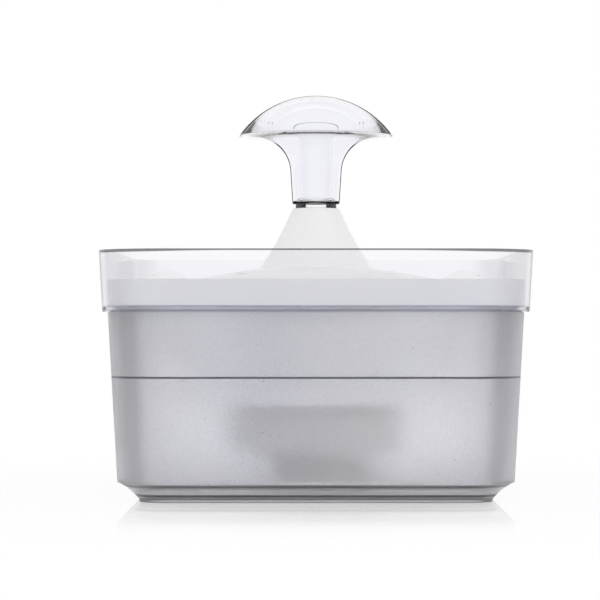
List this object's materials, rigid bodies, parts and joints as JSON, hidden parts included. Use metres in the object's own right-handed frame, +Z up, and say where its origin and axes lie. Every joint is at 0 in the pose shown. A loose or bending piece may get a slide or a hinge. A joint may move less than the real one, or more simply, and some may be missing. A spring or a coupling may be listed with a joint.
{
  "type": "pet water fountain",
  "caption": "Square pet drinking fountain: frosted reservoir, clear splash collar, wavy tray with a tower, clear mushroom spout, filter tray and submersible pump.",
  "frame": {"origin": "centre of the foot ring, on the surface that the fountain stands on", "axes": "+Z up along the spout; +X towards the pump's flow dial; the sides of the square lie along X and Y"},
  "size_m": [0.2598, 0.2598, 0.251],
  "materials": {
    "frosted_plastic": "frosted, translucent silver grey",
    "clear_plastic": "clear, faintly violet",
    "white_plastic": "satin white",
    "smoke_plastic": "smoke grey",
    "grey_plastic": "light warm grey",
    "pump_plastic": "warm grey",
    "dial_plastic": "grey blue",
    "rubber": "soft black",
    "foam": "open-cell foam",
    "carbon_fleece": "white fleece over carbon grains",
    "rotor": "dark magnet and vanes",
    "ceramic": "polished ceramic",
    "coil": "varnished copper winding"
  },
  "bodies": {
    "reservoir_body": {"reservoir": "frosted_plastic"},
    "pump": {"motor_housing": "pump_plastic", "motor_end_cap": "pump_plastic", "stator_coil": "coil", "pump_chamber": "pump_plastic", "impeller_shaft": "ceramic", "shaft_bushes": "rubber", "pump_base_plate": "pump_plastic", "suction_cups": "rubber", "cable_gland": "rubber"},
    "rotor": {"impeller": "rotor"},
    "strainer": {"strainer_cover": "pump_plastic", "pull_loop": "rubber"},
    "dial": {"flow_dial": "dial_plastic"},
    "collar": {"splash_collar": "clear_plastic"},
    "funnel": {"collector_funnel": "white_plastic"},
    "filter": {"filter_tray": "white_plastic", "outlet_o_ring": "rubber", "pump_hood": "grey_plastic"},
    "filter_media": {"foam_filter": "foam", "carbon_filter": "carbon_fleece"},
    "tray": {"drinking_tray": "white_plastic"},
    "spout": {"spout_trumpet": "clear_plastic", "spout_dome": "clear_plastic", "feed_tube": "clear_plastic", "seat_ring": "smoke_plastic", "stem_o_ring": "rubber"}
  },
  "joints": [
    {"name": "pump_lift", "type": "slide", "parent": "reservoir_body", "child": "pump", "axis": [0, 0, 1], "range_m": [0, 0.005]},
    {"name": "impeller_spin", "type": "hinge", "parent": "pump", "child": "rotor", "pos_m": [0, 0, 0.02945], "axis": [1, 0, 0], "continuous": true},
    {"name": "strainer_pull", "type": "slide", "parent": "pump", "child": "strainer", "axis": [1, 0, 0], "range_m": [0, 0.015]},
    {"name": "dial_turn", "type": "hinge", "parent": "strainer", "child": "dial", "pos_m": [0.03, 0, 0.02945], "axis": [1, 0, 0], "range_deg": [0, 60]},
    {"name": "collar_lift", "type": "slide", "parent": "reservoir_body", "child": "collar", "axis": [0, 0, 1], "range_m": [0, 0.1]},
    {"name": "funnel_lift", "type": "slide", "parent": "collar", "child": "funnel", "axis": [0, 0, 1], "range_m": [0, 0.1]},
    {"name": "filter_lift", "type": "slide", "parent": "funnel", "child": "filter", "axis": [0, 0, 1], "range_m": [0, 0.11]},
    {"name": "media_lift", "type": "slide", "parent": "filter", "child": "filter_media", "axis": [0, 0, 1], "range_m": [0, 0.03]},
    {"name": "tray_lift", "type": "slide", "parent": "filter", "child": "tray", "axis": [0, 0, 1], "range_m": [0, 0.1]},
    {"name": "spout_lift", "type": "slide", "parent": "tray", "child": "spout", "axis": [0, 0, 1], "range_m": [0, 0.045]}
  ]
}
